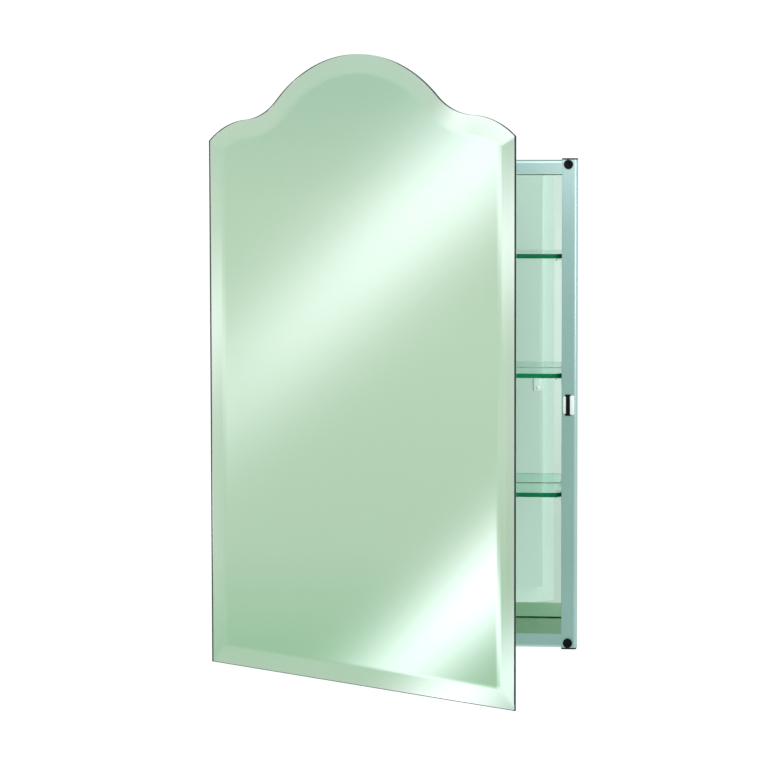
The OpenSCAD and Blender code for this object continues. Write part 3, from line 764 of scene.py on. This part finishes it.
def clip_solid(clip_h):
    """A clip for the right wall: the wall is at x = 0 and the shelf rests at z = 0."""
    tip_z, tip_x = -CLIP_T - CLIP_TIP, -CLIP_L + CLIP_TIP
    side = [(0, 0), (-CLIP_L, 0), (-CLIP_L, tip_z), (tip_x, tip_z), (tip_x, -CLIP_T),
            (-CLIP_T, -CLIP_T), (-CLIP_T, -clip_h), (0, -clip_h)]
    bracket = soften(prism(side, -CLIP_W / 2, CLIP_W / 2), 0.25, 2)
    web = [(-CLIP_T / 2, -CLIP_T / 2), (WEB_IN - CLIP_L, -CLIP_T / 2),
           (-CLIP_T / 2, -clip_h + WEB_SHORT)]
    web_starts = (-CLIP_W / 2 + WEB_INSET, CLIP_W / 2 - WEB_T - WEB_INSET)
    webs = [prism(web, y, y + WEB_T) for y in web_starts]
    peg = turned([(0, -CLIP_T / 2), (PEG_D / 2, -CLIP_T / 2), (PEG_D / 2, PEG_REACH - PEG_LEAD),
                  (PEG_D / 2 - PEG_TAPER, PEG_REACH), (0, PEG_REACH)])
    peg = placed(peg, shift(0, 0, PEG_UP - clip_h) @ Matrix.Rotation(math.pi / 2, 4, "Y"))
    return carve(bracket, [*webs, peg], "UNION")


flip = Matrix.Scale(-1, 4, (1, 0, 0))
for name in SHELF_NAMES:
    low, high = box_mm(f"shelf_clips_{name}")
    seats = [shift(inner_x, y, high.z) for y in (low.y + CLIP_W / 2, high.y - CLIP_W / 2)]
    places = seats + [flip @ seat for seat in seats]
    clips = gather([(clip_solid(high.z - low.z), place) for place in places])
    piece(f"clips_{name}", clips, "body", [clip_plastic], [f"shelf_clips_{name}"])

# %% [markdown]
# ## End caps
# A moulded cap closes each end of a jamb. Its plate has the outline of the profile, with the outer
# front corner round, and a plug under it grips the inside of the profile.


# %% Mould the end caps
def cap_outline(low, high, radius, steps=8):
    """Outline in X and Y whose corner at high X and low Y is round."""
    round_corner = [(high[0] - radius + radius * math.sin(t), low[1] + radius - radius * math.cos(t))
                    for t in quarter(steps)]
    return [(low[0], low[1]), *round_corner, (high[0], high[1]), (low[0], high[1])]


PROFILE_WALL, PROFILE_R, CAP_T, PLUG_GAP = 1.6, 3.2, 1.6, 0.125


def cap_solid(low, high):
    """The cap of the right jamb's top end; the other three are its mirror images."""
    plate = prism(cap_outline(low, high, PROFILE_R), high.z - CAP_T, high.z, level)
    inset = PROFILE_WALL + PLUG_GAP
    plug_low, plug_high = (low.x + inset, low.y + inset), (high.x - inset, high.y - PROFILE_WALL)
    plug_outline = cap_outline(plug_low, plug_high, PROFILE_R - PROFILE_WALL)
    plug = prism(plug_outline, low.z, high.z - CAP_T / 2, level)
    return carve(soften(plate, 0.3, 2), [soften(plug, 0.2, 1)], "UNION")


cap_low, cap_high = box_mm("end_cap_top_right")
for across, side in (("right", 1), ("left", -1)):
    for end, up in (("top", 1), ("bottom", -1)):
        cap = gather([(cap_solid(cap_low, cap_high), Matrix.Diagonal((side, 1, up, 1)))])
        piece(f"cap_{end}_{across}", cap, "body", [cap_plastic],
              [f"end_cap_{end}_{across}"])

# %% [markdown]
# ## Bumpers
# A rubber bumper is a turned part: a stem that is pulled through a hole in the jamb, and a round pad
# with a soft rim and a shallow hollow in its face.

# %% Turn the bumpers
PAD_R, PAD_H, STEM_R, PAD_ROUND = 4.9, 3.0, 2.0, 0.8
HOLLOW = [(2.6, 0.02), (2.2, 0.18), (1.6, 0.42), (0.9, 0.52), (0, 0.55)]
for end in ("top", "bottom"):
    low, high = box_mm(f"bumper_{end}")
    tip = -(high.y - front_y)
    pad = [(0, tip), (STEM_R - 0.3, tip), (STEM_R, 0.3 + tip), (STEM_R, 0), (PAD_R - 0.25, 0), (PAD_R, 0.3)]
    pad += [(PAD_R - PAD_ROUND + PAD_ROUND * math.cos(t), PAD_H - PAD_ROUND + PAD_ROUND * math.sin(t))
            for t in quarter(6)]
    pad += [(radius, PAD_H - depth) for radius, depth in HOLLOW]
    seat = shift((low.x + high.x) / 2, front_y, (low.z + high.z) / 2)
    bumper = placed(turned(pad, 40), seat @ Matrix.Rotation(math.pi / 2, 4, "X"))
    piece(f"rubber_bumper_{end}", bumper, "body", [bumper_rubber], [f"bumper_{end}"],
          sharp=50)

# %% [markdown]
# ## Magnet and pole plates
# The catch is a ferrite magnet between two steel plates, with a black housing behind the jamb. Each
# plate has a wing on the jamb's face with two round corners, and its tongue lies along the magnet in
# the slot. The wings are coined, so their edges roll off and catch the light.


# %% Cut the magnet and the pole plates
def wing_outline(inner, outer, half, radius, steps=6):
    """From the magnet's side at inner to the round-cornered side at outer, in X and Z."""
    way = 1 if outer > inner else -1
    points = [(inner, -half)]
    for up in (-1, 1):
        corner = [(outer - way * radius + way * radius * math.sin(t),
                   up * (half - radius + radius * math.cos(t))) for t in quarter(steps)]
        points += corner if up < 0 else corner[::-1]
    return points + [(inner, half)]


low, high = box_mm("catch_magnet")
magnet = soften(box_solid(low, high), 0.35, 2)
piece("magnet", magnet, "body", [ferrite], ["catch_magnet"])
WING_T, WING_R, JOIN = 1.2, 1.5, 0.3
for side, plate_x in (("inner", low.x), ("outer", high.x)):
    plate_low, plate_high = box_mm(f"catch_pole_{side}")
    far = plate_low.x if side == "inner" else plate_high.x
    wing = prism(wing_outline(plate_x, far, plate_high.z, WING_R), plate_low.y, front_y)
    near_x, far_x = sorted((plate_x, plate_x - WING_T if side == "inner" else plate_x + WING_T))
    tongue = box_solid((near_x, front_y - JOIN, plate_low.z), (far_x, plate_high.y, plate_high.z))
    plate = soften(carve(wing, [tongue], "UNION"), 0.3, 3, 50)
    piece(f"pole_plate_{side}", plate, "body", [pole_metal], [f"catch_pole_{side}"])

# %% [markdown]
# ## Screws
# Two kinds of screw hold the cabinet together. Pan heads stand proud and have a rounded rim, and
# countersunk heads lie flush. Both have a cross recess, which is two tapered slots cut at right
# angles. One of each is turned and cut, and copies of it go to their places.


# %% Turn and cut the screws
def recess(width, length, depth, top):
    """Two crossed wedges, wider at the top."""
    wedges = []
    for turn in (0, math.pi / 2):
        side = [(-length / 2, top + 0.3), (length / 2, top + 0.3), (length * 0.22, top - depth),
                (-length * 0.22, top - depth)]
        wedge = prism(side, -width / 2, width / 2)
        wedges.append(placed(wedge, Matrix.Rotation(turn, 4, "Z")))
    return wedges


def pan_screw(head_r, head_h, shank_r, length):
    rim = [(head_r * math.cos(t), head_h * (0.35 + 0.65 * math.sin(t))) for t in quarter(8)[1:-1]]
    profile = [(0, -length), (shank_r * 0.6, -length), (shank_r, -length + shank_r * 0.7),
               (shank_r, 0), (head_r, 0),
               (head_r, head_h * 0.35), *rim, (0, head_h)]
    return carve(turned(profile, 28), recess(head_r * 0.26, head_r * 1.25, head_h * 0.62, head_h))


def sunk_screw(head_r, head_h, shank_r, length):
    profile = [(0, -length), (shank_r * 0.6, -length), (shank_r, -length + shank_r * 0.7),
               (shank_r, -head_h),
               (head_r, -0.06), (head_r - 0.06, 0), (0, 0)]
    return carve(turned(profile, 28), recess(head_r * 0.26, head_r * 1.2, head_h * 0.9, 0))


def evenly(low, high, margin, count):
    return [low + margin + (high - low - 2 * margin) * i / (count - 1) for i in range(count)]


toward_right, toward_left = (Matrix.Rotation(s * math.pi / 2, 4, "Y") for s in (1, -1))
toward_front, toward_back = (Matrix.Rotation(s * math.pi / 2, 4, "X") for s in (1, -1))
PAN_R, PAN_HEAD, PAN_LENGTH, SHANK_R = 3.2, 2.0, 14.0, 1.75
low, high = box_mm("corner_screws")
heads = [(shift(s * (high.x - PAN_HEAD), y, z) @ turn) for s, turn in ((1, toward_right), (-1, toward_left))
         for y in (low.y + PAN_R, high.y - PAN_R) for z in (low.z + PAN_R, high.z - PAN_R)]
screws = gather([(pan_screw(PAN_R, PAN_HEAD, SHANK_R, PAN_LENGTH), place) for place in heads])
piece("frame_screws", screws, "body", [zinc], ["corner_screws"])

SUNK_R, LEAF_T, LEAF_SCREWS = 2.8, 1.0, 6
for owner, measure, turn in (("body", box_mm, toward_front), ("door", closed_box, toward_back)):
    low, high = measure(f"hinge_screws_{owner}")
    face = low.y if owner == "body" else high.y
    spots = [shift((low.x + high.x) / 2, face, z) @ turn
             for z in evenly(low.z, high.z, SUNK_R, LEAF_SCREWS)]
    length = high.y - low.y
    screws = gather([(sunk_screw(SUNK_R, LEAF_T, SHANK_R, length), spot) for spot in spots])
    piece(f"leaf_screws_{owner}", screws, owner, [zinc], [f"hinge_screws_{owner}"])

# %% [markdown]
# ## Strike plate
# A zinc-plated steel plate on the back of the door meets the magnet. It is stamped with round
# corners, and two small pan-head screws hold it.

# %% Stamp the strike plate
STRIKE_HEAD, STRIKE_R, STRIKE_SHANK, STRIKE_LENGTH, DRILL_GAP = 0.8, 2.2, 1.3, 4.0, 0.05
low, high = closed_box("strike_plate")
screw_low, screw_high = closed_box("strike_screws")
strike_x = (low.x + high.x) / 2
strike_z = (screw_low.z + STRIKE_R, screw_high.z - STRIKE_R)


def drill(x, z, radius, start, end):
    """A round tool along Y."""
    tool = turned([(0, -end), (radius, -end), (radius, -start), (0, -start)], 24)
    return placed(tool, shift(x, 0, z) @ toward_front)


blank = box_solid(low, high)
uprights = [e for e in blank.edges if abs((e.verts[0].co - e.verts[1].co).y) > 0.1]
bmesh.ops.bevel(blank, geom=uprights, offset=2.0, segments=6, profile=0.5, affect="EDGES")
blank = soften(blank, 0.15, 2, 60)
strike = carve(blank, [drill(strike_x, z, STRIKE_SHANK + DRILL_GAP, low.y - 1, high.y + 1)
                       for z in strike_z])
piece("strike", strike, "door", [strike_metal], ["strike_plate"])
spots = [shift(strike_x, high.y, z) @ toward_back for z in strike_z]
screws = gather([(pan_screw(STRIKE_R, STRIKE_HEAD, STRIKE_SHANK, STRIKE_LENGTH), spot)
                 for spot in spots])
piece("strike_screw_pair", screws, "door", [zinc], ["strike_screws"])

# %% [markdown]
# ## Door pan
# The pan is a tray of sheet steel that carries the mirror. Its back is flat, its sides are folded
# towards the mirror and folded in once more as a rim for the tape. A fold in sheet steel is never a
# sharp edge, so the outside of each fold has a radius a little larger than the sheet's thickness.

# %% Fold the door pan
SHEET_T, FOLD_W, BEND_R, CORNER_R = 0.8, 12.0, 1.3, 1.6
low, high = closed_box("door_pan")


def rounded_rectangle(inset, steps=6):
    radius = max(CORNER_R - inset, 0.25)
    corners = ((high.x, high.z), (low.x, high.z), (low.x, low.z), (high.x, low.z))
    points = []
    for k, (x, z) in enumerate(corners):
        x += -(inset + radius) if x > 0 else inset + radius
        z += -(inset + radius) if z > 0 else inset + radius
        turns = [math.pi / 2 * (k + i / steps) for i in range(steps + 1)]
        points += [(x + radius * math.cos(t), z + radius * math.sin(t)) for t in turns]
    return points


def bend(radius, inset, y, way, steps=5):
    """Insets and depths round a fold, from its flat face at y to its side at inset."""
    return [(inset + radius - radius * math.sin(t), y + way * (radius - radius * math.cos(t)))
            for t in quarter(steps)]


skin = bend(BEND_R - SHEET_T, SHEET_T, high.y - SHEET_T, -1)
skin += bend(BEND_R - SHEET_T, SHEET_T, low.y + SHEET_T, 1)[::-1]
skin += [(FOLD_W, low.y + SHEET_T), (FOLD_W, low.y)]
skin += bend(BEND_R, 0, low.y, 1) + bend(BEND_R, 0, high.y, -1)[::-1]
tray = bmesh.new()
rings = [[tray.verts.new((x, y, z)) for x, z in rounded_rectangle(inset)] for inset, y in skin]
for a, b in zip(rings, rings[1:]):
    for i in range(len(a)):
        tray.faces.new((a[i - 1], a[i], b[i], b[i - 1]))
tray.faces.new(rings[0])
tray.faces.new(rings[-1])
screws_low, screws_high = closed_box("hinge_screws_door")
leaf_x = (screws_low.x + screws_high.x) / 2
holes = [drill(leaf_x, z, SHANK_R + DRILL_GAP, high.y - 2, high.y + 1)
         for z in evenly(screws_low.z, screws_high.z, SUNK_R, LEAF_SCREWS)]
holes += [drill(strike_x, z, STRIKE_SHANK + DRILL_GAP, high.y - 2, high.y + 1) for z in strike_z]
piece("folded_pan", carve(tray, holes), "door", [sheet_paint], ["door_pan"],
      flat_over=3000)

# %% [markdown]
# ## Finishes of the kept parts
# The extruded profiles, the pressed panel, the hinge and the tapes already have their true shape in
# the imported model, so they stay as they are and only get their finishes.

# %% Give the kept parts their finishes
kept = {
    jamb_metal_painted_shade: ["jamb_left", "jamb_right"],
    top_rail_metal_painted_light: ["rail_top"],
    sill_metal_painted_shade: ["rail_bottom"],
    sheet_paint: ["back_panel", "door_stiffener_left", "door_stiffener_right"],
    rivet_metal: ["back_rivets"],
    hinge_metal: ["hinge_leaf_body", "hinge_leaf_door", "hinge_pin"],
    cap_plastic: ["catch_housing"],
    foam: ["mirror_tape", "back_mirror_tape"],
}
for material, nodes in kept.items():
    for node in nodes:
        for slot in frame["nodes"][node].material_slots:
            slot.material = material
print("kept parts:", sum(len(nodes) for nodes in kept.values()))
